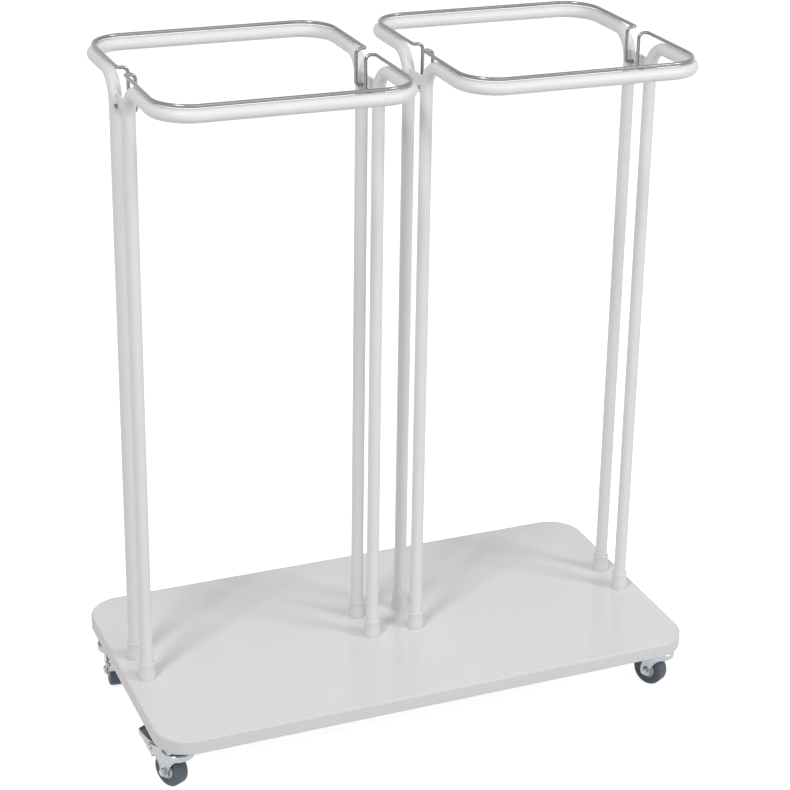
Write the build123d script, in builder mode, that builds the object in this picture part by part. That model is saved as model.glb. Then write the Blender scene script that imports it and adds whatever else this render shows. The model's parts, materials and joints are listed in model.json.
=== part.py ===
from build123d import *
import os

# A double bin bag holder on castors. Two tube hoops stand side by side on a laminated
# board. A hinged wire clamp lies on each half of each hoop and grips the rim of the bag.
# Millimetres. The origin is on the floor under the middle of the board, X runs along the
# board's long edge, Y from front to back, Z up.

# Board
BOARD_LENGTH = 820
BOARD_DEPTH = 432
BOARD_THICKNESS = 22
BOARD_CORNER_RADIUS = 52
BOARD_EDGE_ROUND = 2.5

# Tube hoops
TUBE_DIAMETER = 18
TUBE_WALL = 1.5
HOOP_DEPTH = 372           # between the centre lines of its front and rear rails
HOOP_CORNER_RADIUS = 50
HOOP_SPACING = 70          # between the neighbouring side rails of the two hoops
LEG_INSET = 29.5           # outer legs' centre lines from the short edges of the board
RAIL_HEIGHT = 873          # rail centre line above the top of the board
LEG_SPACING = 64           # between the two legs of one side
LEG_BEND_RADIUS = 40

# Wire clamps
WIRE_DIAMETER = 5
WIRE_GAP = 1.5             # between a closed clamp and the tube below it
WIRE_JOG = 14              # how far the drops stand inside the side rails
WIRE_DROP_SPACING = 36     # between the front and rear drops of one side
WIRE_FOOT_DEPTH = 38       # pivot line below the rail centre line
WIRE_FOOT_OVERHANG = 4     # foot end past the hinge plate
WIRE_FOOT_BEND = 5
WIRE_DROP_BEND = 8
WIRE_JOG_BEND = 4.5
PIVOT_CLEARANCE = 0.3

# Hinge plates between the two legs of each side
HINGE_PLATE_THICKNESS = 4
HINGE_PLATE_HEIGHT = 25
HINGE_PLATE_DROP = 23      # top edge below the rail centre line

# Leg sockets, leg inserts and leg screws
SOCKET_HEIGHT = 26
SOCKET_TOP_WALL = 1.9
SOCKET_BASE_DIAMETER = 24.6
SOCKET_BASE_FLAT = 8
SOCKET_LIP_HEIGHT = 2.2
SOCKET_LIP_WIDTH = 0.5
INSERT_LENGTH = 30
SCREW_DIAMETER = 6
SCREW_HEAD_DIAMETER = 12
SCREW_HEAD_HEIGHT = 4.5
SCREW_REACH = 24           # screw length inside the insert
SCREW_SINK = 1.5           # head below the underside of the board
SCREW_HOLE_CLEARANCE = 0.4
SCREW_HEAD_CLEARANCE = 1.0
HEX_KEY_SIZE = 4
HEX_KEY_DEPTH = 2.5

# Castors
CASTOR_FRONT_INSET = 41    # front swivel axes from the front edge of the board
CASTOR_FRONT_SIDE_INSET = 32
CASTOR_REAR_INSET = 76     # rear swivel axes from its rear edge
CASTOR_REAR_SIDE_INSET = 24
CASTOR_HEIGHT = 73
CASTOR_TRAIL = 14
CASTOR_PLATE_SIZE = 45
CASTOR_PLATE_CORNER = 8
CASTOR_PLATE_THICKNESS = 2.5
CASTOR_HOLE_SPACING = 33.5
CASTOR_SCREW_DIAMETER = 4
CASTOR_SCREW_HEAD_DIAMETER = 8
CASTOR_SCREW_HEAD_HEIGHT = 2.8
CASTOR_SCREW_REACH = 15
CASTOR_SCREW_HOLE_CLEARANCE = 0.5
CUP_RADIUS = 19
CUP_WALL = 2
CUP_DEPTH = 10             # floor of the pressed cup below the board
CUP_SKIRT = 3.6            # cup wall below the floor of the cup
CUP_RIM_GAP = 1            # between the cup wall and the rim of the fork
BALL_DIAMETER = 3.9
BALL_CLEARANCE = 0.05
BALL_CIRCLE_RADIUS = 12.5
BALL_COUNT = 9
FORK_SHEET = 2.2
FORK_CROWN_RADIUS = 23
FORK_RIM_HEIGHT = 9.2
FORK_RIM_RISE = 3.8        # rim above the race
FORK_RIM_ROUND = 1.2
FORK_EAR_RADIUS = 8.5
KINGPIN_DIAMETER = 8
KINGPIN_HEAD_DIAMETER = 14
KINGPIN_HEAD_HEIGHT = 2.4
KINGPIN_CLEARANCE = 0.1
AXLE_DIAMETER = 6
AXLE_HEAD_DIAMETER = 11
AXLE_HEAD_HEIGHT = 2.8
AXLE_NUT_FLATS = 10
AXLE_NUT_HEIGHT = 4.5
AXLE_END = 1.2
AXLE_CLEARANCE = 0.08
WHEEL_DIAMETER = 50
TYRE_WIDTH = 20
TYRE_THICKNESS = 13
TYRE_SHOULDER = 4
TYRE_DISH = 1.2            # hollow in each side of the tyre
TYRE_DISH_WIDTH = 5
HUB_DIAMETER = 15
HUB_SIDE_GAP = 0.35
HUB_PROUD = 1.6            # hub end past the side of the tyre
CORE_PROUD = 0.7           # side of the core past the side of the tyre
CORE_EDGE = 0.8

# Brakes of the two left castors
PEDAL_PIVOT_X = 43         # behind the swivel axis
PEDAL_PIVOT_Z = 52
PEDAL_REACH = 74           # pedal end behind the swivel axis
PEDAL_SHEET = 2
PEDAL_FRONT = 7            # front of the pedal ahead of its pivot
PEDAL_TOP_RISE = 8.5       # top of the side walls above the pivot
PEDAL_END_RISE = 14.5      # top of the end wall above the pivot
PEDAL_END_DEPTH = 4.5
PEDAL_END_WIDTH = 16
PEDAL_END_CORNER = 5
PEDAL_BOSS_RADIUS = 5.5
PEDAL_GAP = 0.3
SHOE_GAP = 3               # between the brake shoe and the tyre with the brake off
SHOE_RADIUS = 2.6
SHOE_DROP = 13
BRAKE_EAR_RADIUS = 6.5
BRAKE_PIN_DIAMETER = 5
BRAKE_PIN_HEAD_DIAMETER = 8
BRAKE_PIN_HEAD_HEIGHT = 1.8
BRAKE_PIN_CLEARANCE = 0.1

# Worked out from the sizes above
board_bottom = CASTOR_HEIGHT
board_top = board_bottom + BOARD_THICKNESS
tube_radius = TUBE_DIAMETER / 2
rail_z = board_top + RAIL_HEIGHT
rail_y = HOOP_DEPTH / 2
leg_y = LEG_SPACING / 2
inner_x = HOOP_SPACING / 2
outer_x = BOARD_LENGTH / 2 - LEG_INSET
wire_radius = WIRE_DIAMETER / 2
wire_z = rail_z + tube_radius + WIRE_GAP + wire_radius
wire_y = WIRE_DROP_SPACING / 2
foot_z = rail_z - WIRE_FOOT_DEPTH
axle_z = WHEEL_DIAMETER / 2
hub_half_width = TYRE_WIDTH / 2 + HUB_PROUD
cheek_inside = hub_half_width + HUB_SIDE_GAP
cheek_outside = cheek_inside + FORK_SHEET
cup_floor_top = board_bottom - CUP_DEPTH + CUP_WALL
cup_floor_bottom = board_bottom - CUP_DEPTH
race_z = cup_floor_bottom - BALL_DIAMETER - 2 * BALL_CLEARANCE
rim_top = race_z + FORK_RIM_RISE
rim_bottom = rim_top - FORK_RIM_HEIGHT
kingpin_foot_top = race_z - FORK_SHEET - HUB_SIDE_GAP
castor_front_x = BOARD_LENGTH / 2 - CASTOR_FRONT_SIDE_INSET
castor_rear_x = BOARD_LENGTH / 2 - CASTOR_REAR_SIDE_INSET
castor_front_y = CASTOR_FRONT_INSET - BOARD_DEPTH / 2
castor_rear_y = BOARD_DEPTH / 2 - CASTOR_REAR_INSET
leg_places = [
    (side * x, end * leg_y, board_top)
    for side in (-1, 1)
    for x in (outer_x, inner_x)
    for end in (-1, 1)
]
castor_places = {
    "front_left": (-castor_front_x, castor_front_y),
    "front_right": (castor_front_x, castor_front_y),
    "rear_left": (-castor_rear_x, castor_rear_y),
    "rear_right": (castor_rear_x, castor_rear_y),
}
# Direction in which each wheel trails behind its swivel axis, in degrees from X
castor_headings = {"front_left": 116, "front_right": 117, "rear_left": 262, "rear_right": 205}
braked_castors = ("front_left", "rear_left")

os.makedirs("parts", exist_ok=True)


def save(piece, node):
    """Label a finished piece and write it to its own file."""
    piece.label = node
    export_step(piece, f"parts/{node}.step")


# Board: one laminated panel, with a counterbored hole under each leg and pilot holes
# for the castor screws
with BuildPart() as base_board:
    with BuildSketch(Plane.XY.offset(board_bottom)):
        RectangleRounded(BOARD_LENGTH, BOARD_DEPTH, BOARD_CORNER_RADIUS)
    extrude(amount=BOARD_THICKNESS)
    fillet(base_board.faces().sort_by(Axis.Z)[0].edges(), BOARD_EDGE_ROUND)
    fillet(base_board.faces().sort_by(Axis.Z)[-1].edges(), BOARD_EDGE_ROUND)
    with BuildSketch(Plane.XY.offset(board_bottom)):
        with Locations(*leg_places):
            Circle((SCREW_DIAMETER + SCREW_HOLE_CLEARANCE) / 2)
    extrude(amount=BOARD_THICKNESS, mode=Mode.SUBTRACT)
    with BuildSketch(Plane.XY.offset(board_bottom)):
        with Locations(*leg_places):
            Circle((SCREW_HEAD_DIAMETER + SCREW_HEAD_CLEARANCE) / 2)
    extrude(amount=SCREW_SINK + SCREW_HEAD_HEIGHT, mode=Mode.SUBTRACT)
    with BuildSketch(Plane.XY.offset(board_bottom)):
        with Locations(*castor_places.values()):
            with GridLocations(CASTOR_HOLE_SPACING, CASTOR_HOLE_SPACING, 2, 2):
                Circle(CASTOR_SCREW_DIAMETER / 2)
    extrude(amount=CASTOR_SCREW_REACH, mode=Mode.SUBTRACT)
save(base_board.part, "base_board")


def hoop_path(side, end):
    """Centre line of half a hoop: up one leg, out along the rails and down the other leg."""
    near = (side * outer_x, end * leg_y)
    far = (side * inner_x, end * leg_y)
    return FilletPolyline(
        (*near, board_top),
        (*near, rail_z),
        (side * outer_x, end * rail_y, rail_z),
        (side * inner_x, end * rail_y, rail_z),
        (*far, rail_z),
        (*far, board_top),
        radius=[LEG_BEND_RADIUS, HOOP_CORNER_RADIUS, HOOP_CORNER_RADIUS, LEG_BEND_RADIUS],
    )


def wire_path(side, end):
    """Centre line of a clamp: foot, drop, jog and side run on each side of its front run."""

    def half(x, inboard):
        drop_x = x + inboard * WIRE_JOG
        foot_x = x - inboard * (HINGE_PLATE_THICKNESS / 2 + WIRE_FOOT_OVERHANG)
        return [
            (foot_x, end * wire_y, foot_z),
            (drop_x, end * wire_y, foot_z),
            (drop_x, end * wire_y, wire_z),
            (x, end * wire_y, wire_z),
            (x, end * rail_y, wire_z),
        ]

    bends = [WIRE_FOOT_BEND, WIRE_DROP_BEND, WIRE_JOG_BEND, HOOP_CORNER_RADIUS]
    outer_half = half(side * outer_x, -side)
    inner_half = half(side * inner_x, side)
    return FilletPolyline(*outer_half, *reversed(inner_half), radius=bends + bends[::-1])


for side, side_name in ((-1, "left"), (1, "right")):
    rods = []
    for end, end_name in ((-1, "front"), (1, "rear")):
        # Half hoop: one bent tube, open at its two feet
        with BuildPart() as hoop:
            with BuildLine():
                path = hoop_path(side, end)
            with BuildSketch(Plane(origin=path @ 0, z_dir=path % 0)):
                Circle(tube_radius)
                Circle(tube_radius - TUBE_WALL, mode=Mode.SUBTRACT)
            sweep(path=path)
        save(hoop.part, f"hoop_{side_name}_{end_name}")

        # The same tube as a solid rod, for cutting what is welded on to it
        with BuildPart() as rod:
            with BuildSketch(Plane(origin=path @ 0, z_dir=path % 0)):
                Circle(tube_radius)
            sweep(path=path)
        rods.append(rod.part)

        # Wire clamp: one bent wire that lies above its half of the hoop
        with BuildPart() as clamp:
            with BuildLine():
                path = wire_path(side, end)
            with BuildSketch(Plane(origin=path @ 0, z_dir=path % 0)):
                Circle(wire_radius)
            sweep(path=path)
            chamfer(clamp.faces().filter_by(GeomType.PLANE).edges(), wire_radius / 4)
        save(clamp.part, f"clamp_{side_name}_{end_name}")

    # Hinge plates: one welded between the two legs of each side, bored for the wire feet
    for x, x_name in ((outer_x, "outer"), (inner_x, "inner")):
        plate_middle = rail_z - HINGE_PLATE_DROP - HINGE_PLATE_HEIGHT / 2
        with BuildPart() as hinge_plate:
            with BuildSketch(Plane.YZ.offset(side * x - HINGE_PLATE_THICKNESS / 2)):
                with Locations((0, plate_middle)):
                    Rectangle(LEG_SPACING, HINGE_PLATE_HEIGHT)
                with Locations((-wire_y, foot_z), (wire_y, foot_z)):
                    Circle(wire_radius + PIVOT_CLEARANCE, mode=Mode.SUBTRACT)
            extrude(amount=HINGE_PLATE_THICKNESS)
            add(rods[0], mode=Mode.SUBTRACT)
            add(rods[1], mode=Mode.SUBTRACT)
        middle = hinge_plate.solids().sort_by(lambda piece: abs(piece.center().Y))[0]
        save(middle, f"hinge_plate_{side_name}_{x_name}")

# Leg sockets: turned ferrules round the foot of each leg, flared to the board
with BuildPart() as leg_socket:
    with BuildSketch(Plane.XZ):
        with BuildLine():
            lip_radius = tube_radius + SOCKET_TOP_WALL + SOCKET_LIP_WIDTH
            neck_radius = tube_radius + SOCKET_TOP_WALL
            base_radius = SOCKET_BASE_DIAMETER / 2
            Polyline(
                (tube_radius, 0),
                (base_radius, 0),
                (base_radius, SOCKET_BASE_FLAT),
            )
            Spline(
                (base_radius, SOCKET_BASE_FLAT),
                (neck_radius, SOCKET_HEIGHT - SOCKET_LIP_HEIGHT),
                tangents=((-0.6, 1), (-0.06, 1)),
            )
            Polyline(
                (neck_radius, SOCKET_HEIGHT - SOCKET_LIP_HEIGHT),
                (lip_radius, SOCKET_HEIGHT - SOCKET_LIP_HEIGHT),
                (lip_radius, SOCKET_HEIGHT),
                (tube_radius, SOCKET_HEIGHT),
                (tube_radius, 0),
            )
        make_face()
    revolve(axis=Axis.Z)
    fillet(leg_socket.edges().filter_by(GeomType.CIRCLE).group_by(SortBy.RADIUS)[-1], 1)
for x, y, z in leg_places:
    side_name = "left" if x < 0 else "right"
    x_name = "inner" if abs(x) == inner_x else "outer"
    end_name = "front" if y < 0 else "rear"
    save(leg_socket.part.moved(Location((x, y, z))), f"socket_{side_name}_{x_name}_{end_name}")

# Threaded inserts pressed into the feet of the legs
with BuildPart() as tube_inserts:
    with Locations(*leg_places):
        Cylinder(tube_radius - TUBE_WALL, INSERT_LENGTH, align=(Align.CENTER, Align.CENTER, Align.MIN))
        Cylinder(
            SCREW_DIAMETER / 2,
            INSERT_LENGTH,
            align=(Align.CENTER, Align.CENTER, Align.MIN),
            mode=Mode.SUBTRACT,
        )
save(tube_inserts.part, "tube_inserts")

# Leg screws: socket heads sunk into the underside of the board
screw_head_z = board_bottom + SCREW_SINK
with BuildPart() as leg_screws:
    with BuildSketch(Plane.XY.offset(screw_head_z)):
        with Locations(*leg_places):
            Circle(SCREW_HEAD_DIAMETER / 2)
    extrude(amount=SCREW_HEAD_HEIGHT)
    with BuildSketch(Plane.XY.offset(screw_head_z)):
        with Locations(*leg_places):
            Circle(SCREW_DIAMETER / 2)
    extrude(amount=board_top + SCREW_REACH - screw_head_z)
    with BuildSketch(Plane.XY.offset(screw_head_z)):
        with Locations(*leg_places):
            RegularPolygon(HEX_KEY_SIZE / 2, 6, major_radius=False)
    extrude(amount=HEX_KEY_DEPTH, mode=Mode.SUBTRACT)
save(leg_screws.part, "leg_screws")

# Castor screws: pan heads under the corners of the four castor plates
castor_plate_bottom = board_bottom - CASTOR_PLATE_THICKNESS
with BuildPart() as castor_screws:
    with BuildSketch(Plane.XY.offset(castor_plate_bottom)):
        with Locations(*castor_places.values()):
            with GridLocations(CASTOR_HOLE_SPACING, CASTOR_HOLE_SPACING, 2, 2):
                Circle(CASTOR_SCREW_HEAD_DIAMETER / 2)
    extrude(amount=-CASTOR_SCREW_HEAD_HEIGHT)
    chamfer(castor_screws.faces().group_by(Axis.Z)[0].edges(), CASTOR_SCREW_HEAD_HEIGHT / 3)
    with BuildSketch(Plane.XY.offset(castor_plate_bottom)):
        with Locations(*castor_places.values()):
            with GridLocations(CASTOR_HOLE_SPACING, CASTOR_HOLE_SPACING, 2, 2):
                Circle(CASTOR_SCREW_DIAMETER / 2)
    extrude(amount=CASTOR_PLATE_THICKNESS + CASTOR_SCREW_REACH)
save(castor_screws.part, "castor_screws")

# The castor's pieces are drawn with the swivel axis on Z and the wheel trailing to -X

# Castor plate: one pressing, a screwed flange round a cup that covers the ball race
with BuildPart() as castor_plate:
    with BuildSketch(Plane.XY.offset(castor_plate_bottom)):
        RectangleRounded(CASTOR_PLATE_SIZE, CASTOR_PLATE_SIZE, CASTOR_PLATE_CORNER)
        Circle(CUP_RADIUS - CUP_WALL, mode=Mode.SUBTRACT)
        with GridLocations(CASTOR_HOLE_SPACING, CASTOR_HOLE_SPACING, 2, 2):
            Circle((CASTOR_SCREW_DIAMETER + CASTOR_SCREW_HOLE_CLEARANCE) / 2, mode=Mode.SUBTRACT)
    extrude(amount=CASTOR_PLATE_THICKNESS)
    with BuildSketch(Plane.XZ):
        with BuildLine():
            Polyline(
                (CUP_RADIUS - CUP_WALL, board_bottom),
                (CUP_RADIUS - CUP_WALL, cup_floor_top),
                (KINGPIN_DIAMETER / 2, cup_floor_top),
                (KINGPIN_DIAMETER / 2, cup_floor_bottom),
                (CUP_RADIUS - CUP_WALL, cup_floor_bottom),
                (CUP_RADIUS - CUP_WALL, cup_floor_bottom - CUP_SKIRT),
                (CUP_RADIUS, cup_floor_bottom - CUP_SKIRT),
                (CUP_RADIUS, board_bottom),
                close=True,
            )
        make_face()
    revolve(axis=Axis.Z)

# Balls of the swivel race, between the cup and the crown of the fork
with BuildPart() as race_balls:
    with Locations((0, 0, (race_z + cup_floor_bottom) / 2)):
        with PolarLocations(BALL_CIRCLE_RADIUS, BALL_COUNT):
            Sphere(BALL_DIAMETER / 2)

# Kingpin: a rivet through the plate and the fork
with BuildPart() as kingpin:
    with BuildSketch(Plane.XZ):
        with BuildLine():
            Polyline(
                (0, cup_floor_top + KINGPIN_HEAD_HEIGHT),
                (KINGPIN_HEAD_DIAMETER / 2 - 1, cup_floor_top + KINGPIN_HEAD_HEIGHT),
                (KINGPIN_HEAD_DIAMETER / 2, cup_floor_top + KINGPIN_HEAD_HEIGHT - 1),
                (KINGPIN_HEAD_DIAMETER / 2, cup_floor_top),
                (KINGPIN_DIAMETER / 2, cup_floor_top),
                (KINGPIN_DIAMETER / 2, kingpin_foot_top),
                (KINGPIN_HEAD_DIAMETER / 2, kingpin_foot_top),
                (KINGPIN_HEAD_DIAMETER / 2 - 1.5, kingpin_foot_top - KINGPIN_HEAD_HEIGHT),
                (0, kingpin_foot_top - KINGPIN_HEAD_HEIGHT),
                close=True,
            )
        make_face()
    revolve(axis=Axis.Z)


def make_fork(braked):
    """Pressed fork: a round tray under the ball race with a folded rim, and two cheeks."""
    crown_outline = [
        (CUP_RADIUS + CUP_RIM_GAP, race_z),
        (CUP_RADIUS + CUP_RIM_GAP, rim_top),
        (FORK_CROWN_RADIUS - FORK_RIM_ROUND, rim_top),
        (FORK_CROWN_RADIUS, rim_top - FORK_RIM_ROUND),
    ]
    cheek_reach = ((FORK_CROWN_RADIUS - FORK_SHEET / 2) ** 2 - cheek_outside ** 2) ** 0.5
    ear_front = (-CASTOR_TRAIL + FORK_EAR_RADIUS * 0.97, axle_z + FORK_EAR_RADIUS * 0.24)
    ear_rear = (-CASTOR_TRAIL - FORK_EAR_RADIUS * 0.97, axle_z + FORK_EAR_RADIUS * 0.24)
    with BuildPart() as fork:
        with BuildSketch(Plane.XZ.offset(-cheek_outside)):
            with Locations((-CASTOR_TRAIL, axle_z)):
                Circle(FORK_EAR_RADIUS)
            with BuildLine():
                Polyline((-cheek_reach, race_z), (cheek_reach, race_z), (cheek_reach, rim_bottom))
                ThreePointArc((cheek_reach, rim_bottom), (0, (rim_bottom + axle_z) / 2), ear_front)
                Polyline(ear_front, (-CASTOR_TRAIL, axle_z), ear_rear, (-cheek_reach, race_z))
            make_face()
            if braked:
                arm_end = PEDAL_PIVOT_Z - BRAKE_EAR_RADIUS
                with BuildLine():
                    Polyline(
                        (-cheek_reach / 2, race_z),
                        (-cheek_reach / 2, rim_top - FORK_RIM_ROUND),
                        (-PEDAL_PIVOT_X, PEDAL_PIVOT_Z + BRAKE_EAR_RADIUS),
                        (-PEDAL_PIVOT_X, arm_end),
                    )
                    ThreePointArc(
                        (-PEDAL_PIVOT_X, arm_end),
                        (-PEDAL_PIVOT_X * 0.66, arm_end * 0.86),
                        ear_rear,
                    )
                    Polyline(ear_rear, (-cheek_reach / 2, race_z))
                make_face()
                with Locations((-PEDAL_PIVOT_X, PEDAL_PIVOT_Z)):
                    Circle(BRAKE_EAR_RADIUS)
                    Circle(BRAKE_PIN_DIAMETER / 2, mode=Mode.SUBTRACT)
            with Locations((-CASTOR_TRAIL, axle_z)):
                Circle(AXLE_DIAMETER / 2, mode=Mode.SUBTRACT)
        extrude(amount=FORK_SHEET)
        mirror(about=Plane.XZ)
        with BuildSketch(Plane.XZ):
            with BuildLine():
                Polyline(
                    (0, race_z),
                    *crown_outline,
                    (FORK_CROWN_RADIUS, board_bottom),
                    (0, board_bottom),
                    close=True,
                )
            make_face()
        revolve(axis=Axis.Z, mode=Mode.SUBTRACT)
        with BuildSketch(Plane.XZ):
            with BuildLine():
                Polyline(
                    (KINGPIN_DIAMETER / 2 + KINGPIN_CLEARANCE, race_z),
                    *crown_outline,
                    (FORK_CROWN_RADIUS, rim_bottom),
                    (FORK_CROWN_RADIUS - FORK_SHEET, rim_bottom),
                    (FORK_CROWN_RADIUS - FORK_SHEET, race_z - FORK_SHEET),
                    (KINGPIN_DIAMETER / 2 + KINGPIN_CLEARANCE, race_z - FORK_SHEET),
                    close=True,
                )
            make_face()
        revolve(axis=Axis.Z)
    return fork.part


# Axle bolt across the fork, with its nut
with BuildPart() as axle:
    with BuildSketch(Plane.XZ.offset(-cheek_outside)):
        with Locations((-CASTOR_TRAIL, axle_z)):
            Circle(AXLE_HEAD_DIAMETER / 2)
    extrude(amount=-AXLE_HEAD_HEIGHT)
    chamfer(axle.faces().sort_by(Axis.Y)[-1].edges(), AXLE_HEAD_HEIGHT / 3)
    with BuildSketch(Plane.XZ.offset(-cheek_outside)):
        with Locations((-CASTOR_TRAIL, axle_z)):
            Circle(AXLE_DIAMETER / 2)
    extrude(amount=2 * cheek_outside + AXLE_NUT_HEIGHT + AXLE_END)
    chamfer(axle.faces().sort_by(Axis.Y)[0].edges(), AXLE_END / 2)
with BuildPart() as axle_nut:
    with BuildSketch(Plane.XZ.offset(cheek_outside)):
        with Locations((-CASTOR_TRAIL, axle_z)):
            RegularPolygon(AXLE_NUT_FLATS / 2, 6, major_radius=False)
            Circle(AXLE_DIAMETER / 2, mode=Mode.SUBTRACT)
    extrude(amount=AXLE_NUT_HEIGHT)

# Wheel core: a moulded disc with a boss on each side, turned about the axle
rim_radius = WHEEL_DIAMETER / 2 - TYRE_THICKNESS
half_tyre = TYRE_WIDTH / 2
half_core = half_tyre + CORE_PROUD
wheel_plane = Plane(origin=(-CASTOR_TRAIL, 0, axle_z), x_dir=(0, 1, 0), z_dir=(1, 0, 0))
wheel_axis = Axis((-CASTOR_TRAIL, 0, axle_z), (0, 1, 0))
with BuildPart() as wheel_core:
    with BuildSketch(wheel_plane):
        with BuildLine():
            Polyline(
                (-hub_half_width, AXLE_DIAMETER / 2 + AXLE_CLEARANCE),
                (hub_half_width, AXLE_DIAMETER / 2 + AXLE_CLEARANCE),
                (hub_half_width, HUB_DIAMETER / 2),
                (half_core, HUB_DIAMETER / 2),
                (half_core, rim_radius - CORE_EDGE),
                (half_core - CORE_EDGE, rim_radius),
                (-half_core + CORE_EDGE, rim_radius),
                (-half_core, rim_radius - CORE_EDGE),
                (-half_core, HUB_DIAMETER / 2),
                (-hub_half_width, HUB_DIAMETER / 2),
                close=True,
            )
        make_face()
    revolve(axis=wheel_axis)

# Tyre: a thick rubber ring bonded on to the core, dished on both sides
with BuildPart() as tyre:
    with BuildSketch(wheel_plane):
        with BuildLine():
            tread = WHEEL_DIAMETER / 2
            dish_radius = rim_radius + TYRE_DISH_WIDTH
            Polyline(
                (-half_tyre + TYRE_DISH, rim_radius),
                (half_tyre - TYRE_DISH, rim_radius),
                (half_tyre - TYRE_DISH, dish_radius),
                (half_tyre, dish_radius + TYRE_DISH),
                (half_tyre, tread),
                (-half_tyre, tread),
                (-half_tyre, dish_radius + TYRE_DISH),
                (-half_tyre + TYRE_DISH, dish_radius),
                close=True,
            )
        make_face()
    revolve(axis=wheel_axis)
    fillet(tyre.edges().filter_by(GeomType.CIRCLE).group_by(SortBy.RADIUS)[-1], TYRE_SHOULDER)

# Brake pedal: a pressed tray, narrower to its end, on a cam that bears on the tyre
pedal_half_width = cheek_inside - PEDAL_GAP
pivot_place = (-PEDAL_PIVOT_X, PEDAL_PIVOT_Z)
pedal_front = -PEDAL_PIVOT_X + PEDAL_FRONT
pedal_heel = -PEDAL_PIVOT_X - PEDAL_BOSS_RADIUS
pedal_end_z = PEDAL_PIVOT_Z + PEDAL_END_RISE
shoe_z = PEDAL_PIVOT_Z - SHOE_DROP
shoe_lean = (tread + SHOE_GAP + SHOE_RADIUS) ** 2 - (shoe_z - axle_z) ** 2
shoe_x = -CASTOR_TRAIL - shoe_lean ** 0.5


def pedal_plan(inset):
    """Outline of the pedal seen from above, moved in by the inset at its sides and end."""
    with BuildSketch(Plane.XY.offset(PEDAL_PIVOT_Z - 2 * PEDAL_END_RISE), mode=Mode.PRIVATE) as plan:
        with BuildLine():
            Polyline(
                (pedal_front, -pedal_half_width + inset),
                (pedal_front, pedal_half_width - inset),
                (pedal_heel, pedal_half_width - inset),
                (-PEDAL_REACH + inset, PEDAL_END_WIDTH / 2 - inset),
                (-PEDAL_REACH + inset, -PEDAL_END_WIDTH / 2 + inset),
                (pedal_heel, -pedal_half_width + inset),
                close=True,
            )
        make_face()
        fillet(plan.vertices().group_by(Axis.X)[0], PEDAL_END_CORNER - inset)
    return plan.sketch


with BuildPart() as pedal_hollow:
    with BuildSketch(Plane.XZ.offset(-pedal_half_width)):
        with BuildLine():
            floor_rise = PEDAL_SHEET * 1.2
            Polyline(
                (pedal_front, pedal_end_z + PEDAL_SHEET),
                (-PEDAL_REACH, pedal_end_z + PEDAL_SHEET),
                (-PEDAL_REACH, pedal_end_z - PEDAL_END_DEPTH + floor_rise),
                (pedal_heel, PEDAL_PIVOT_Z - PEDAL_BOSS_RADIUS + floor_rise),
                (pedal_front, PEDAL_PIVOT_Z - PEDAL_BOSS_RADIUS + floor_rise),
                close=True,
            )
        make_face()
    extrude(amount=2 * pedal_half_width)
    extrude(pedal_plan(PEDAL_SHEET), amount=4 * PEDAL_END_RISE, mode=Mode.INTERSECT)
with BuildPart() as brake_pedal:
    with BuildSketch(Plane.XZ.offset(-pedal_half_width)):
        with BuildLine():
            Polyline(
                (pedal_front, PEDAL_PIVOT_Z + PEDAL_TOP_RISE),
                (-PEDAL_REACH, pedal_end_z),
                (-PEDAL_REACH, pedal_end_z - PEDAL_END_DEPTH),
                (pedal_heel, PEDAL_PIVOT_Z - PEDAL_BOSS_RADIUS),
                (pedal_front, PEDAL_PIVOT_Z - PEDAL_BOSS_RADIUS),
                close=True,
            )
        make_face()
    extrude(amount=2 * pedal_half_width)
    extrude(pedal_plan(0), amount=4 * PEDAL_END_RISE, mode=Mode.INTERSECT)
    add(pedal_hollow.part, mode=Mode.SUBTRACT)
    with BuildSketch(Plane.XZ.offset(-pedal_half_width)):
        with BuildLine():
            cam_outline = Polyline(
                (-PEDAL_PIVOT_X - PEDAL_BOSS_RADIUS, PEDAL_PIVOT_Z),
                (-PEDAL_PIVOT_X + PEDAL_BOSS_RADIUS, PEDAL_PIVOT_Z),
                (shoe_x + SHOE_RADIUS, shoe_z),
                (shoe_x - SHOE_RADIUS, shoe_z),
                close=True,
            )
        make_face()
        with Locations((shoe_x, shoe_z)):
            Circle(SHOE_RADIUS)
        with Locations(pivot_place):
            Circle(PEDAL_BOSS_RADIUS)
    extrude(amount=2 * pedal_half_width)
    with BuildSketch(Plane.XZ.offset(-pedal_half_width)):
        with Locations(pivot_place):
            Circle(BRAKE_PIN_DIAMETER / 2 + BRAKE_PIN_CLEARANCE)
    extrude(amount=2 * pedal_half_width, mode=Mode.SUBTRACT)

# Brake pin: riveted over on both cheeks of the fork
with BuildPart() as brake_pin:
    with BuildSketch(Plane.XZ.offset(-cheek_outside)):
        with Locations(pivot_place):
            Circle(BRAKE_PIN_DIAMETER / 2)
    extrude(amount=2 * cheek_outside)
    with BuildSketch(Plane.XZ.offset(cheek_outside)):
        with Locations(pivot_place):
            Circle(BRAKE_PIN_HEAD_DIAMETER / 2)
    extrude(amount=BRAKE_PIN_HEAD_HEIGHT)
    with BuildSketch(Plane.XZ.offset(-cheek_outside)):
        with Locations(pivot_place):
            Circle(BRAKE_PIN_HEAD_DIAMETER / 2)
    extrude(amount=-BRAKE_PIN_HEAD_HEIGHT)

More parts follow.
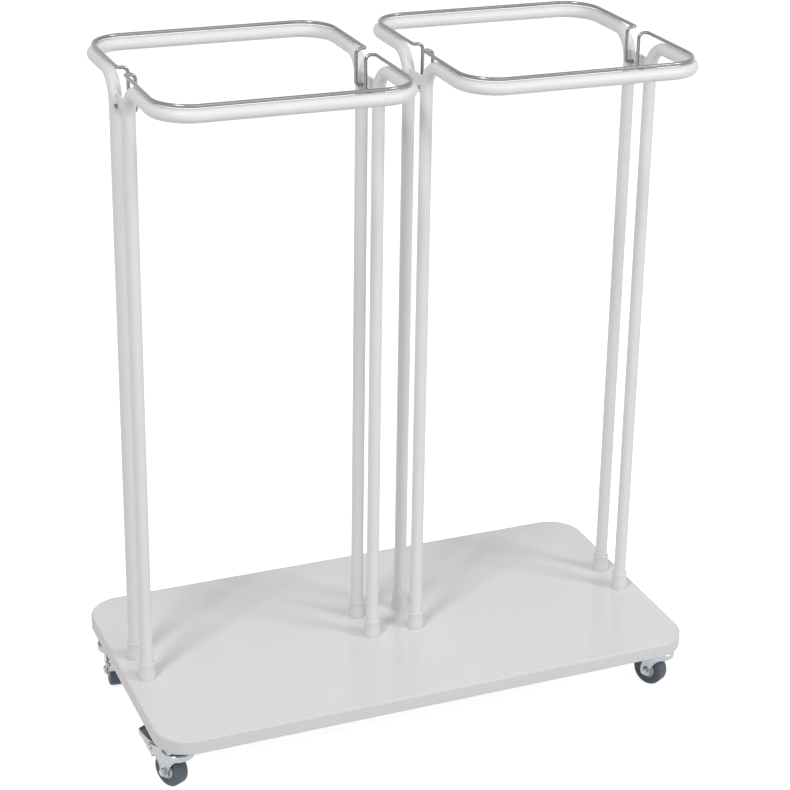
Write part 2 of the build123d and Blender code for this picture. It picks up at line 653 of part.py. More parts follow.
for castor, (x, y) in castor_places.items():
    plate_place = Location((x, y, 0))
    fork_place = Location((x, y, 0), (0, 0, castor_headings[castor] - 180))
    braked = castor in braked_castors
    save(castor_plate.part.moved(plate_place), f"plate_{castor}")
    save(race_balls.part.moved(plate_place), f"race_balls_{castor}")
    save(kingpin.part.moved(plate_place), f"kingpin_{castor}")
    save(make_fork(braked).moved(fork_place), f"fork_{castor}")
    save(axle.part.moved(fork_place), f"axle_{castor}")
    save(axle_nut.part.moved(fork_place), f"axle_nut_{castor}")
    save(wheel_core.part.moved(fork_place), f"wheel_core_{castor}")
    save(tyre.part.moved(fork_place), f"tyre_{castor}")
    if braked:
        save(brake_pedal.part.moved(fork_place), f"brake_pedal_{castor}")
        save(brake_pin.part.moved(fork_place), f"brake_pin_{castor}")
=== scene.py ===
"""Looks for a double bin bag holder: two bent-tube hoops with hinged wire clamps on a laminated
board that rolls on four small castors. Lengths are in metres unless a name says otherwise."""

import json
import math

import bpy
import numpy as np
from mathutils import Matrix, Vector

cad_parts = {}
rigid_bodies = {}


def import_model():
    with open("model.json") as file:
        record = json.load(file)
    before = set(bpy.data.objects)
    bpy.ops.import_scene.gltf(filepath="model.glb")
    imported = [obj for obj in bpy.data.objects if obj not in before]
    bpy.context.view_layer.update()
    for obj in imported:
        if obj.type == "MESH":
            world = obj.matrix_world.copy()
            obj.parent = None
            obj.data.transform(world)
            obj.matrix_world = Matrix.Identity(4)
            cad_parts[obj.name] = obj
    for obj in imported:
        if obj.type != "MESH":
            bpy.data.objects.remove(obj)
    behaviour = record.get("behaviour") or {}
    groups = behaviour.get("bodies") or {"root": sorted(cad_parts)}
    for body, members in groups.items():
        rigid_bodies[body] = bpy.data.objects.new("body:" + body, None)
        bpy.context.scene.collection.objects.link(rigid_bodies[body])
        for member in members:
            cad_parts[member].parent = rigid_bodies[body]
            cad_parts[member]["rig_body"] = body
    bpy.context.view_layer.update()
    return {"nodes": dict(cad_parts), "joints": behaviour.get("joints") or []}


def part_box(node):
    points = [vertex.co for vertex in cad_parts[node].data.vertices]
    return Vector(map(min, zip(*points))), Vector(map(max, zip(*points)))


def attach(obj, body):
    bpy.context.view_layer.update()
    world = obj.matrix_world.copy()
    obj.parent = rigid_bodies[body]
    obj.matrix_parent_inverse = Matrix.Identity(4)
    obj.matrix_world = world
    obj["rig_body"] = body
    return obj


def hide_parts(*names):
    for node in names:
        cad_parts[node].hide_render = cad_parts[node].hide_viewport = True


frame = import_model()
joints = {joint["name"]: joint for joint in frame["joints"]}
nodes = sorted(frame["nodes"])

MM = 0.001

BOARD_CORNER = 52 * MM
BOARD_EDGE = 2.5 * MM          # quarter round above and below the edge band
BOARD_FLAT_RING = 0.9          # share of the corner radius where the flats' inner ring lies
BOARD_EDGE_STEPS = 7
BOARD_CORNER_STEPS = 31
SCREW_HOLE_RADIUS = 6.5 * MM
SCREW_HOLE_DEPTH = 6 * MM

TUBE_RADIUS = 9 * MM
TUBE_STEPS = 48
LEG_BEND = 40 * MM
HOOP_CORNER = 50 * MM

WIRE_RADIUS = 2.5 * MM
WIRE_STEPS = 28
WIRE_JOG = 14 * MM             # from the rail's line inwards to the drop
WIRE_FOOT_BEND = 5 * MM
WIRE_DROP_BEND = 8 * MM
WIRE_JOG_BEND = 4.5 * MM
WIRE_END_ROUND = 0.6 * MM
WIRE_END_STEPS = 6
DIE_MARK_WIDTH = 10 / 9 * MM
DIE_MARK_LENGTH = 40 * MM

SOCKET_NECK_WALL = 1.9 * MM
SOCKET_LIP_HEIGHT = 2.2 * MM
SOCKET_LIP_WIDTH = 0.5 * MM
SOCKET_BASE_FLAT = 8 * MM      # straight foot below the flare
SOCKET_EDGE = 0.5 * MM
SOCKET_FLARE_STEPS = 20
SOCKET_STEPS = 64

TYRE_WIDTH = 20 * MM
TYRE_SHOULDER = 4 * MM
TYRE_SHOULDER_END = 8          # degrees, where the shoulder's arc ends short of the tread
TYRE_DISH = 1.2 * MM
TYRE_DISH_WIDTH = 5 * MM
TYRE_DISH_ROUND = 1.2 * MM
TYRE_SLOPE_HEIGHT = 0.15 * MM  # last slope from the dish up to the flat side
TYRE_SLOPE_WIDTH = 0.4 * MM
TYRE_CROWN = 0.1 * MM
TYRE_CROWN_STEPS = 13
TYRE_STEPS = 96

ARC_STEP = math.radians(3)
ARC_STEPS_LEAST = 4
SHARP_ANGLE = math.radians(40)
CAD_SHARP_ANGLE = math.radians(35)
WELD_DISTANCE = 0.01 * MM
WHITE = (1.0, 1.0, 1.0, 1.0)


def linear(hex_text):
    """The linear colour of an sRGB hex value, by the sRGB curve."""
    srgb = [int(hex_text[i:i + 2], 16) / 255 for i in (1, 3, 5)]
    curve = [c / 12.92 if c <= 0.04045 else ((c + 0.055) / 1.055) ** 2.4 for c in srgb]
    return (*curve, 1.0)


def put(tree, kind, sockets=None, **settings):
    """Adds one node, sets its properties, and fills or links its inputs."""
    made = tree.nodes.new(kind)
    for name, value in settings.items():
        setattr(made, name, value)
    for name, value in (sockets or {}).items():
        if isinstance(value, bpy.types.NodeSocket):
            tree.links.new(value, made.inputs[name])
        else:
            made.inputs[name].default_value = value
    return made


def blank(name):
    """A new material and its empty node tree."""
    material = bpy.data.materials.new(name)
    material.use_nodes = True
    material.node_tree.nodes.clear()
    return material, material.node_tree


def skin(tree, pattern, tints, roughness, bumps=None, **constants):
    """Ends a material's tree with its shader. Where the pattern grows stronger, the colour goes
    from the first to the second hex tint and the roughness from the first to the second value.
    Bumps are a pattern of their own with a strength and a height. The rest are constants, each
    for the shader's socket of that name."""
    tint = put(tree, "ShaderNodeMix", {
        "Factor": pattern.outputs["Fac"], "A": linear(tints[0]), "B": linear(tints[1]),
    }, data_type="RGBA")
    gloss = put(tree, "ShaderNodeMapRange", {
        "Value": pattern.outputs["Fac"], "To Min": roughness[0], "To Max": roughness[1],
    })
    sockets = {"Base Color": tint.outputs["Result"], "Roughness": gloss.outputs["Result"]}
    if bumps:
        grain, strength, height = bumps
        relief = put(tree, "ShaderNodeBump", {
            "Height": grain.outputs["Fac"], "Strength": strength, "Distance": height,
        })
        sockets["Normal"] = relief.outputs["Normal"]
    shader = put(tree, "ShaderNodeBsdfPrincipled", {**sockets, **constants})
    put(tree, "ShaderNodeOutputMaterial", {"Surface": shader.outputs["BSDF"]})


# Materials

def powder_coat():
    """White polyester powder coat on steel tube, sprayed and baked: an even pale shell, half
    gloss, with the slight orange peel of a baked coat, about 3 mm from crest to crest."""
    material, tree = blank("white_powder_coat")
    place = put(tree, "ShaderNodeTexCoord").outputs["Object"]
    peel = put(tree, "ShaderNodeTexNoise", {"Vector": place, "Scale": 1 / (3 * MM), "Detail": 1.5})
    patches = put(tree, "ShaderNodeTexNoise", {"Vector": place, "Scale": 1 / (60 * MM), "Detail": 3})
    skin(tree, patches, tints=("#E9E7E6", "#EDEBEA"), roughness=(0.38, 0.46),
         bumps=(peel, 0.06, 0.4 * MM), IOR=1.5)
    return material


def laminate():
    """White melamine laminate on board, pressed between polished plates: pale and glossy, with a
    faint soft mottle, so the legs show in it as a blurred reflection."""
    material, tree = blank("white_melamine_laminate")
    place = put(tree, "ShaderNodeTexCoord").outputs["Object"]
    mottle = put(tree, "ShaderNodeTexNoise", {"Vector": place, "Scale": 1 / (90 * MM), "Detail": 4})
    grain = put(tree, "ShaderNodeTexNoise", {"Vector": place, "Scale": 1 / (1.2 * MM), "Detail": 2})
    skin(tree, mottle, tints=("#E6E4E4", "#EBE9E9"), roughness=(0.13, 0.19),
         bumps=(grain, 0.03, 0.15 * MM), IOR=1.5)
    return material


def moulded_white(name, dark, light, rough):
    """White moulded plastic, of the ferrules and of the band round the board's edge: satin, with
    a fine spark grain from the tool."""
    material, tree = blank(name)
    place = put(tree, "ShaderNodeTexCoord").outputs["Object"]
    grain = put(tree, "ShaderNodeTexNoise", {"Vector": place, "Scale": 1 / (0.8 * MM), "Detail": 3})
    skin(tree, grain, tints=(dark, light), roughness=(rough, rough + 0.1),
         bumps=(grain, 0.08, 0.1 * MM), IOR=1.49)
    return material


def zinc_wire_painted_shade():
    """Zinc-plated drawn spring wire: a slightly soft metal whose tint is darker than bare zinc,
    painted shade standing in for dark surroundings mirrored in it. Faint lengthwise die marks follow
    the wire by its own UV map."""
    material, tree = blank("zinc_plated_wire")
    along = put(tree, "ShaderNodeUVMap", uv_map="run").outputs["UV"]
    stretch = put(tree, "ShaderNodeMapping", {
        "Vector": along, "Scale": (1 / DIE_MARK_WIDTH, 1 / DIE_MARK_LENGTH, 1.0),
    })
    marks = put(tree, "ShaderNodeTexNoise", {
        "Vector": stretch.outputs["Vector"], "Scale": 1.0, "Detail": 2,
    })
    # Both tints are darker than bare zinc: painted shade for dark surroundings mirrored in the wire;
    # the die marks vary them.
    skin(tree, marks, tints=("#808486", "#909395"), roughness=(0.19, 0.25),
         bumps=(marks, 0.03, 0.05 * MM), Metallic=1.0)
    return material


def steel_finish(name, dark, light, rough):
    """Steel of the castors and bolts, pressed or turned and then tumbled: satin metal, cloudy in
    patches of about 6 mm where the plating was passivated, with fine tumbling pits."""
    material, tree = blank(name)
    place = put(tree, "ShaderNodeTexCoord").outputs["Object"]
    clouds = put(tree, "ShaderNodeTexNoise", {"Vector": place, "Scale": 1 / (6 * MM), "Detail": 5})
    pits = put(tree, "ShaderNodeTexNoise", {"Vector": place, "Scale": 1 / (0.7 * MM), "Detail": 3})
    skin(tree, clouds, tints=(dark, light), roughness=(rough - 0.07, rough + 0.09),
         bumps=(pits, 0.12, 0.08 * MM), Metallic=1.0)
    return material


def tyre_rubber():
    """Blue-grey non-marking rubber, compression moulded: dull, a little lighter where it has
    scuffed, in patches of about 5 mm, with a fine pebbled skin."""
    material, tree = blank("grey_moulded_rubber")
    place = put(tree, "ShaderNodeTexCoord").outputs["Object"]
    scuffs = put(tree, "ShaderNodeTexNoise", {"Vector": place, "Scale": 1 / (5 * MM), "Detail": 6})
    pebbles = put(tree, "ShaderNodeTexNoise", {"Vector": place, "Scale": 1 / (0.6 * MM), "Detail": 2})
    skin(tree, scuffs, tints=("#444E59", "#5D6976"), roughness=(0.5, 0.68),
         bumps=(pebbles, 0.2, 0.1 * MM), IOR=1.52)
    return material


def wheel_plastic():
    """Pale grey moulded nylon of the wheel cores: smooth, faintly clouded by the flow of the
    melt."""
    material, tree = blank("grey_moulded_nylon")
    place = put(tree, "ShaderNodeTexCoord").outputs["Object"]
    flow = put(tree, "ShaderNodeTexNoise", {"Vector": place, "Scale": 1 / (8 * MM), "Detail": 3})
    skin(tree, flow, tints=("#BFC2C4", "#CED1D3"), roughness=(0.35, 0.48), IOR=1.53)
    return material


COAT = powder_coat()
BOARD_FACE = laminate()
# The edge band is rougher than the laminate, and its tint is a little darker than the top: painted
# shade on the board's sides.
EDGE_BAND_PAINTED_SHADE = moulded_white("white_styrene_edge_band_painted_shade", "#DEDCDC", "#E3E1E1", 0.42)
SOCKET_PLASTIC = moulded_white("white_moulded_polypropylene", "#E2E0DF", "#E8E6E5", 0.34)
WIRE_METAL_PAINTED_SHADE = zinc_wire_painted_shade()
PRESSED_ZINC = steel_finish("zinc_plated_pressed_steel", "#9FA3A6", "#BEC2C5", 0.32)
BOLT_ZINC = steel_finish("zinc_plated_bolt_steel", "#A9ADAE", "#C6C9C8", 0.28)
BALL_STEEL = steel_finish("polished_bearing_steel", "#B9BBBD", "#C9CBCD", 0.16)
TREAD = tyre_rubber()
CORE_PLASTIC = wheel_plastic()


# Surfaces

def placed(name, data):
    """A new object at the origin of the scene."""
    made = bpy.data.objects.new(name, data)
    bpy.context.scene.collection.objects.link(made)
    return made


def box(node):
    """The low and high corners of a CAD node's box."""
    return map(np.array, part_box(node))


def unit(vector):
    """A vector's direction, with a length of one."""
    return vector / np.linalg.norm(vector)


def surface(name, grid, material, closed_ends=True):
    """A tube of quads from a grid of points, stations by points round. Closed ends fan from the
    first and last rings to a point at their middle. UV 'run' holds the length round and along, in
    metres; a middle point has no length along."""
    stations, around, _ = grid.shape
    ring = np.arange(around)
    after = (ring + 1) % around
    base = np.arange(stations - 1)[:, None] * around
    top = base + around
    quads = np.stack([base + ring, base + after, top + after, top + ring], -1)
    faces = quads.reshape(-1, 4).tolist()
    points = grid.reshape(-1, 3)
    if closed_ends:
        first, last = len(points), len(points) + 1
        points = np.concatenate([points, [grid[0].mean(0), grid[-1].mean(0)]])
        head = np.stack([np.full(around, first), after, ring], -1)
        tail = np.stack([np.full(around, last), top[-1] + ring, top[-1] + after], -1)
        faces += head.tolist() + tail.tolist()
    mesh = bpy.data.meshes.new(name)
    mesh.from_pydata(points, [], faces)
    step = np.linalg.norm(np.diff(grid.mean(1), axis=0), axis=1)
    run = np.concatenate([[0], np.cumsum(step), [0]])
    middle_ring = grid[stations // 2]
    girth = np.linalg.norm(middle_ring - np.roll(middle_ring, 1, 0), axis=1).sum()
    corner = np.empty(len(mesh.loops), np.int32)
    mesh.loops.foreach_get("vertex_index", corner)
    uv = np.stack([(corner % around) / around * girth, run[corner // around]], -1)
    mesh.uv_layers.new(name="run").data.foreach_set("uv", uv.astype(np.float32).ravel())
    mesh.shade_smooth()
    mesh.set_sharp_from_angle(angle=SHARP_ANGLE)
    mesh.materials.append(material)
    return placed(name, mesh)


def turn(vectors, axis, angles):
    """Each vector turned about a unit axis by its angle, by the rotation formula:
    v cos a + (axis x v) sin a + axis (axis . v)(1 - cos a)."""
    cos, sin = np.cos(angles)[:, None], np.sin(angles)[:, None]
    lengthwise = axis * (vectors @ axis)[:, None]
    return vectors * cos + np.cross(axis, vectors) * sin + lengthwise * (1 - cos)


def bent_line(corners, radii):
    """Centre line of a bent rod: straight runs joined by arcs that touch both runs, each arc
    starting radius x tan(half the turn) before its corner. Gives points, sides, ups and tangents,
    where the side turns with each arc and so never twists."""
    corners = np.array(corners, float)
    runs = np.diff(corners, axis=0)
    ways = runs / np.linalg.norm(runs, axis=1)[:, None]
    side = np.cross(ways[0], (0.0, 0.0, 1.0))
    if np.linalg.norm(side) < 0.1:
        side = np.cross(ways[0], (0.0, 1.0, 0.0))
    side = unit(side)
    points, sides, tangents = [corners[:1]], [side[None]], [ways[:1]]
    for corner, radius, way_in, way_out in zip(corners[1:-1], radii, ways[:-1], ways[1:]):
        angle = math.acos(np.clip(way_in @ way_out, -1, 1))
        axis = np.cross(way_in, way_out) / math.sin(angle)
        start = corner - way_in * radius * math.tan(angle / 2)
        centre = start + np.cross(axis, way_in) * radius
        steps = max(ARC_STEPS_LEAST, round(angle / ARC_STEP))
        angles = np.linspace(0, angle, steps + 1)
        spokes, arc_tangents, arc_sides = (
            turn(np.repeat(vector[None], len(angles), 0), axis, angles)
            for vector in (start - centre, way_in, side)
        )
        points.append(centre + spokes)
        tangents.append(arc_tangents)
        sides.append(arc_sides)
        side = arc_sides[-1]
    points.append(corners[-1:])
    sides.append(side[None])
    tangents.append(ways[-1:])
    points, sides, tangents = map(np.concatenate, (points, sides, tangents))
    return points, sides, np.cross(tangents, sides), tangents


def rod(name, corners, radii, radius, material, end_round=0.0, around=TUBE_STEPS):
    """A round rod along a bent line: centre + radius (side cos t + up sin t). Where end_round is
    given, its ends are rounded over by quarter circles of that radius."""
    points, sides, ups, tangents = bent_line(corners, radii)
    girths = np.full(len(points), radius)
    if end_round:
        quarter = np.linspace(0, math.pi / 2, WIRE_END_STEPS)
        shrink = radius - end_round + end_round * np.sin(quarter)
        inset = end_round * (1 - np.cos(quarter))
        head = points[0] + tangents[0] * inset[:, None]
        tail = points[-1] - tangents[-1] * inset[::-1, None]
        points = np.concatenate([head, points[1:-1], tail])
        girths = np.concatenate([shrink, girths[1:-1], shrink[::-1]])
        count = np.ones(len(sides), int)
        count[[0, -1]] = len(quarter)
        sides, ups = np.repeat(sides, count, 0), np.repeat(ups, count, 0)
    angle = np.linspace(0, 2 * math.pi, around, endpoint=False)[None, :, None]
    ring = np.cos(angle) * sides[:, None] + np.sin(angle) * ups[:, None]
    return surface(name, points[:, None] + ring * girths[:, None, None], material)


def turned(name, outline, centre, axis, material, around):
    """A turned form: each outline point (radius, height) swept round an axis through the centre.
    The outline starts and ends on its inner radius and the band closes on itself."""
    axis = unit(np.array(axis, float))
    helper = (0.0, 0.0, 1.0) if abs(axis[2]) < 0.9 else (1.0, 0.0, 0.0)
    side = unit(np.cross(axis, helper))
    up = np.cross(axis, side)
    outline = np.array(outline + outline[:1], float)
    angle = np.linspace(0, 2 * math.pi, around, endpoint=False)[:, None]
    spoke = np.cos(angle) * side + np.sin(angle) * up
    radius, height = outline.T[:, :, None, None]
    return surface(name, np.array(centre) + radius * spoke + height * axis, material, False)


def arc(centre, radius, first, last, steps=6):
    """Points (radius, height) of an outline's arc: centre + radius (cos a, sin a), with the angle
    a from the first to the last, in degrees."""
    angle = np.linspace(math.radians(first), math.radians(last), steps)
    return [(centre[0] + radius * math.cos(a), centre[1] + radius * math.sin(a)) for a in angle]


def settle(piece):
    """Puts what a piece's modifiers make of it into its mesh."""
    depsgraph = bpy.context.evaluated_depsgraph_get()
    done = bpy.data.meshes.new_from_object(piece.evaluated_get(depsgraph))
    piece.modifiers.clear()
    piece.data = done


def finish_flats(piece, sharp_angle):
    """Smooth shading that stays even on flats: each normal leans to the larger face beside it."""
    piece.data.shade_smooth()
    piece.data.set_sharp_from_angle(angle=sharp_angle)
    even = piece.modifiers.new("even_flats", "WEIGHTED_NORMAL")
    even.keep_sharp = True
    settle(piece)


def refined(node, material, bevel):
    """A copy of a CAD node for show: its loose triangles are merged and its sharp edges rounded."""
    mesh = frame["nodes"][node].data.copy()
    mesh.name = node + "_finish"
    mesh.materials.clear()
    mesh.materials.append(material)
    piece = placed(node + "_finish", mesh)
    weld = piece.modifiers.new("weld", "WELD")
    weld.merge_threshold = WELD_DISTANCE
    if bevel:
        rounding = piece.modifiers.new("rounding", "BEVEL")
        rounding.width = bevel
        rounding.segments = 2
        rounding.limit_method = "ANGLE"
        rounding.angle_limit = SHARP_ANGLE
    settle(piece)
    finish_flats(piece, CAD_SHARP_ANGLE)
    return piece


def show(piece, node):
    """Puts a new piece in place of its CAD node, on the same body."""
    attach(piece, frame["nodes"][node]["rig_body"])
    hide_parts(node)


# Board, hoops, clamps, sockets and tyres

def sunk_hole(piece, centre, radius, depth):
    """Sinks a round hole into a piece from below, by a boolean with a round plug."""
    x, y, z = centre
    plug = rod("plug", [(x, y, z - depth), (x, y, z + depth)], [], radius, BOARD_FACE)
    cut = piece.modifiers.new("sunk_hole", "BOOLEAN")
    cut.operation, cut.solver, cut.object = "DIFFERENCE", "EXACT", plug
    settle(piece)
    bpy.data.objects.remove(plug)


def laminated_board(node):
    """The board: a rounded rectangle with a quarter round above and below its edge, which has a
    band of its own. A point is its corner's centre plus (corner radius - inset) in its
    direction. A counterbore for a leg screw lies under the middle of each socket."""
    low, high = box(node)
    middle, reach = (low + high) / 2, (high - low)[:2] / 2 - BOARD_CORNER
    below = [(BOARD_CORNER * BOARD_FLAT_RING, low[2]), (2 * BOARD_EDGE, low[2])]
    below += [(BOARD_EDGE * (1 - math.sin(a)), low[2] + BOARD_EDGE * (1 - math.cos(a)))
              for a in np.linspace(0, math.pi / 2, BOARD_EDGE_STEPS)]
    above = [(inset, low[2] + high[2] - z) for inset, z in below[::-1]]
    inset, height = np.array(below + above).T
    bend = np.linspace(0, math.pi / 2, BOARD_CORNER_STEPS)
    angle = np.concatenate([bend + q * math.pi / 2 for q in range(4)])
    quarters = np.repeat([(1, 1), (-1, 1), (-1, -1), (1, -1)], len(bend), axis=0)
    corner = quarters * reach + middle[:2]
    way = np.stack([np.cos(angle), np.sin(angle)], -1)
    flat = corner + (BOARD_CORNER - inset)[:, None, None] * way
    lift = np.broadcast_to(height[:, None, None], (*flat.shape[:2], 1))
    piece = surface(node + "_panel", np.concatenate([flat, lift], -1), BOARD_FACE)
    rounded = inset < 2 * BOARD_EDGE
    band = np.zeros(len(piece.data.polygons), np.int32)
    band[:(len(inset) - 1) * len(angle)] = np.repeat(rounded[:-1] & rounded[1:], len(angle))
    # The band's faces, the board's rounded edges and sides, take the darker tint: painted shade.
    piece.data.materials.append(EDGE_BAND_PAINTED_SHADE)
    piece.data.polygons.foreach_set("material_index", band)
    for socket in (name for name in nodes if name.startswith("socket_")):
        socket_low, socket_high = box(socket)
        foot = (socket_low + socket_high) / 2
        sunk_hole(piece, (foot[0], foot[1], low[2]), SCREW_HOLE_RADIUS, SCREW_HOLE_DEPTH)
    finish_flats(piece, SHARP_ANGLE)
    show(piece, node)


def inner_and_outer_y(node, low, high, radius):
    """The y of the line of a bent piece, beside the middle of the stand and at its own end."""
    ys = high[1] - radius, low[1] + radius
    return ys if "front" in node else ys[::-1]


def half_hoop(node):
    """One bent tube, its line worked out from the node's box: legs, rails and two corners."""
    low, high = box(node)
    leg_y, rail_y = inner_and_outer_y(node, low, high, TUBE_RADIUS)
    x_a, x_b = low[0] + TUBE_RADIUS, high[0] - TUBE_RADIUS
    top = high[2] - TUBE_RADIUS
    corners = [(x_a, leg_y, low[2]), (x_a, leg_y, top), (x_a, rail_y, top),
               (x_b, rail_y, top), (x_b, leg_y, top), (x_b, leg_y, low[2])]
    bends = [LEG_BEND, HOOP_CORNER, HOOP_CORNER, LEG_BEND]
    show(rod(node + "_tube", corners, bends, TUBE_RADIUS, COAT), node)


def wire_clamp(node):
    """One bent wire, its line worked out from the node's box and the hoop below it."""
    low, high = box(node)
    hoop_low, hoop_high = box(node.replace("clamp", "hoop"))
    pivot_y, rail_y = inner_and_outer_y(node, low, high, WIRE_RADIUS)
    foot_z, top = low[2] + WIRE_RADIUS, high[2] - WIRE_RADIUS
    halves = []
    for foot_x, rail_x, jog in (
        (low[0], hoop_low[0] + TUBE_RADIUS, WIRE_JOG),
        (high[0], hoop_high[0] - TUBE_RADIUS, -WIRE_JOG),
    ):
        drop_x = rail_x + jog
        halves.append([(foot_x, pivot_y, foot_z), (drop_x, pivot_y, foot_z),
                       (drop_x, pivot_y, top), (rail_x, pivot_y, top), (rail_x, rail_y, top)])
    line = halves[0] + halves[1][::-1]
    bends = [WIRE_FOOT_BEND, WIRE_DROP_BEND, WIRE_JOG_BEND, HOOP_CORNER]
    bends += bends[::-1]
    piece = rod(node + "_wire", line, bends, WIRE_RADIUS, WIRE_METAL_PAINTED_SHADE, WIRE_END_ROUND, WIRE_STEPS)
    show(piece, node)


def leg_socket(node):
    """A ferrule: straight foot, hollow flare that narrows with the square of the height left, and
    a small lip on top. Its outer edges are arcs and its mouth has a small chamfer."""
    low, high = box(node)
    centre = ((low[0] + high[0]) / 2, (low[1] + high[1]) / 2, low[2])
    foot, height = (high[0] - low[0]) / 2, high[2] - low[2]
    neck = TUBE_RADIUS + SOCKET_NECK_WALL
    lip = neck + SOCKET_LIP_WIDTH
    lip_low = height - SOCKET_LIP_HEIGHT
    flare = np.linspace(0, 1, SOCKET_FLARE_STEPS)
    flare_z = SOCKET_BASE_FLAT + flare * (lip_low - SOCKET_BASE_FLAT)
    flare_r = neck + (foot - neck) * (1 - flare) ** 2
    edge = SOCKET_EDGE
    outline = [(TUBE_RADIUS, 0.0)]
    outline += arc((foot - edge, edge), edge, -90, 0)
    outline += zip(flare_r, flare_z)
    outline += arc((lip - edge, lip_low + edge), edge, -60, 0, steps=4)
    outline += arc((lip - edge, height - edge), edge, 0, 90)
    outline += [(TUBE_RADIUS + edge / 2, height), (TUBE_RADIUS, height - edge / 2)]
    piece = turned(node + "_ferrule", outline, centre, (0, 0, 1), SOCKET_PLASTIC, SOCKET_STEPS)
    show(piece, node)


def castor_tyre(node):
    """A moulded tyre: sides dished beside the core and flat outside, quarter-round shoulders, and
    a tread crowned by a parabola, tread radius - crown (height / half width of the tread)^2."""
    castor = node.removeprefix("tyre_")
    low, high = box(node)
    core_low, core_high = box("wheel_core_" + castor)
    spin = joints["wheel_spin_" + castor]
    tread, rim = (high[2] - low[2]) / 2, (core_high[2] - core_low[2]) / 2
    half = TYRE_WIDTH / 2
    floor = half - TYRE_DISH
    dish_end = rim + TYRE_DISH_WIDTH
    slope_start = dish_end + TYRE_DISH
    round_start = dish_end - TYRE_DISH_ROUND / 2
    side = [(rim, floor), (round_start, floor)]
    side += arc((round_start, floor + TYRE_DISH_ROUND), TYRE_DISH_ROUND, -90, -45, steps=4)
    side += [(slope_start, half - TYRE_SLOPE_HEIGHT), (slope_start + TYRE_SLOPE_WIDTH, half)]
    shoulder = (tread - TYRE_SHOULDER, half - TYRE_SHOULDER)
    side += arc(shoulder, TYRE_SHOULDER, 90, TYRE_SHOULDER_END, steps=11)
    flat = half - TYRE_SHOULDER
    across = np.linspace(-flat, flat, TYRE_CROWN_STEPS)[1:-1]
    crown = [(tread - TYRE_CROWN * (height / flat) ** 2, height) for height in across]
    outline = [(radius, -height) for radius, height in side] + crown + side[::-1]
    piece = turned(node + "_rubber", outline, spin["pos_m"], spin["axis"], TREAD, TYRE_STEPS)
    show(piece, node)


# What each kind of node is shown by: a form of its own, or its CAD form with a material, the
# rounding of its sharp edges and its slot, which is listed but not used
OWN_FORMS = {
    "base_board": laminated_board,
    "clamp_": wire_clamp,
    "hoop_": half_hoop,
    "socket_": leg_socket,
    "tyre_": castor_tyre,
}
CAD_FORMS = {
    "hinge_plate_": (COAT, 0.6 * MM, "powder_coat_white"),
    "wheel_core_": (CORE_PLASTIC, 0.25 * MM, "wheel_plastic"),
    "fork_": (PRESSED_ZINC, 0.5 * MM, "castor_zinc"),
    "plate_": (PRESSED_ZINC, 0.5 * MM, "castor_zinc"),
    "brake_pedal_": (PRESSED_ZINC, 0.5 * MM, "castor_zinc"),
    "axle_": (BOLT_ZINC, 0.3 * MM, "castor_zinc"),
    "brake_pin_": (BOLT_ZINC, 0.3 * MM, "castor_zinc"),
    "kingpin_": (BOLT_ZINC, 0.3 * MM, "castor_zinc"),
    "race_balls_": (BALL_STEEL, 0, "bearing_steel"),
    "castor_screws": (BOLT_ZINC, 0.2 * MM, "screw_zinc"),
    "leg_screws": (BOLT_ZINC, 0.2 * MM, "screw_zinc"),
    "tube_inserts": (BOLT_ZINC, 0, "insert_steel"),
}

for node in nodes:
    kind = next(start for start in (*OWN_FORMS, *CAD_FORMS) if node.startswith(start))
    if kind in OWN_FORMS:
        OWN_FORMS[kind](node)
    else:
        material, rounding, slot = CAD_FORMS[kind]
        show(refined(node, material, rounding), node)


# Stage, light and camera

def backdrop_rays(tree):
    """One for the rays that see the backdrop: camera, mirror and transmission rays. Else zero."""
    rays = put(tree, "ShaderNodeLightPath").outputs
    seen = put(tree, "ShaderNodeMath", {
        0: rays["Is Camera Ray"], 1: rays["Is Glossy Ray"],
    }, operation="MAXIMUM")
    seen = put(tree, "ShaderNodeMath", {
        0: seen.outputs["Value"], 1: rays["Is Transmission Ray"],
    }, operation="MAXIMUM")
    return seen.outputs["Value"]


def studio_floor(half_side, glow):
    """A pale floor that keeps the soft shadow, and glows for the rays that see the backdrop."""
    mesh = bpy.data.meshes.new("studio_floor")
    corners = [(x * half_side, y * half_side, 0) for x, y in ((-1, -1), (1, -1), (1, 1), (-1, 1))]
    mesh.from_pydata(corners, [], [(0, 1, 2, 3)])
    floor = placed("studio_floor", mesh)
    material, tree = blank("pale_studio_floor")
    level = put(tree, "ShaderNodeMath", {0: backdrop_rays(tree), 1: glow}, operation="MULTIPLY")
    paper = put(tree, "ShaderNodeBsdfDiffuse", {"Color": linear("#D2D2D2")})
    lift = put(tree, "ShaderNodeEmission", {"Color": WHITE, "Strength": level.outputs["Value"]})
    both = put(tree, "ShaderNodeAddShader", {
        0: paper.outputs["BSDF"], 1: lift.outputs["Emission"],
    })
    put(tree, "ShaderNodeOutputMaterial", {"Surface": both.outputs["Shader"]})
    mesh.materials.append(material)


def studio_world(ambient):
    """White round the object for the rays that see the backdrop, and a plain ambient light."""
    world = bpy.data.worlds.new("studio")
    world.use_nodes = True
    tree = world.node_tree
    tree.nodes.clear()
    level = put(tree, "ShaderNodeMapRange", {
        "Value": backdrop_rays(tree), "To Min": ambient, "To Max": 1.0,
    })
    sky = put(tree, "ShaderNodeBackground", {"Color": WHITE, "Strength": level.outputs["Result"]})
    put(tree, "ShaderNodeOutputWorld", {"Surface": sky.outputs["Background"]})
    bpy.context.scene.world = world


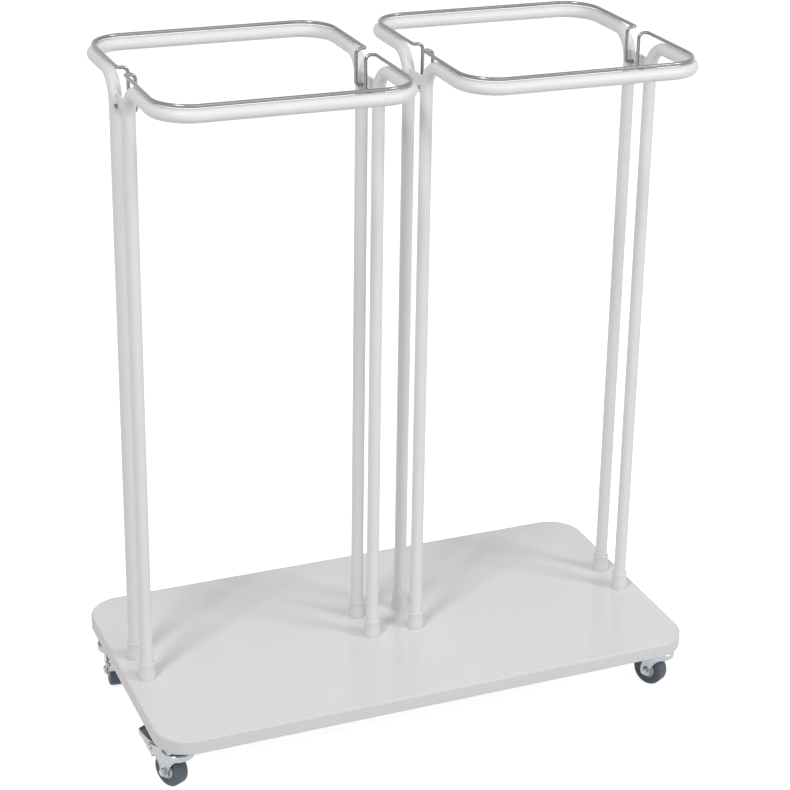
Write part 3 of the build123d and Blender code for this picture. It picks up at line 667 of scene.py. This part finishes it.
def stood(right, up, back, place):
    """The matrix whose columns are three directions and a place."""
    matrix = np.eye(4)
    matrix[:3] = np.array((right, up, back, place)).T
    return Matrix(matrix.tolist())


def soft_lamp(name, place, target, size, power):
    """A square soft box that faces a target."""
    lamp = bpy.data.lights.new(name, "AREA")
    lamp.shape, lamp.size, lamp.energy = "SQUARE", size, power
    holder = placed(name, lamp)
    way = unit(np.array(target, float) - np.array(place, float))
    across = unit(np.cross(way, (0, 0, 1)))
    holder.matrix_world = stood(across, np.cross(across, way), -way, place)


def photo_camera():
    """The camera at the photograph's viewing angle, solved from the board, legs and hoops. Yaw
    turns from +Y to +X, pitch down and roll about the view, in radians."""
    yaw, pitch, roll = 0.43175, 0.38333, 0.03321
    focal_px, picture_px, sensor_mm = 2142.479, 790, 36
    shift_px = (90.744, -58.502)
    place = (-1.067636, -2.644677, 1.712951)
    level = np.array((math.cos(yaw), -math.sin(yaw), 0.0))
    heading = np.array((math.sin(yaw), math.cos(yaw), 0.0))
    ahead = math.cos(pitch) * heading - (0.0, 0.0, math.sin(pitch))
    above = np.cross(level, ahead)
    right = math.cos(roll) * level + math.sin(roll) * above
    up = -math.sin(roll) * level + math.cos(roll) * above
    data = bpy.data.cameras.new("photo_camera")
    data.sensor_width = sensor_mm
    data.lens = focal_px / picture_px * sensor_mm
    data.shift_x = -shift_px[0] / picture_px
    data.shift_y = shift_px[1] / picture_px
    camera = placed("photo_camera", data)
    camera.matrix_world = stood(right, up, -ahead, place)
    bpy.context.scene.camera = camera


studio_floor(half_side=12.0, glow=0.82)
studio_world(ambient=0.38)
soft_lamp("soft_box_front", place=(0.3, -4.6, 3.4), target=(0, 0, 0.4), size=2.9, power=40)
soft_lamp("soft_box_left", place=(-2.6, -2.1, 4.2), target=(0, 0, 0.2), size=1.0, power=79)
soft_lamp("soft_box_right", place=(3.1, -3.0, 3.2), target=(0, 0, 0.2), size=1.2, power=70)
photo_camera()
bpy.context.scene.view_settings.view_transform = "Standard"
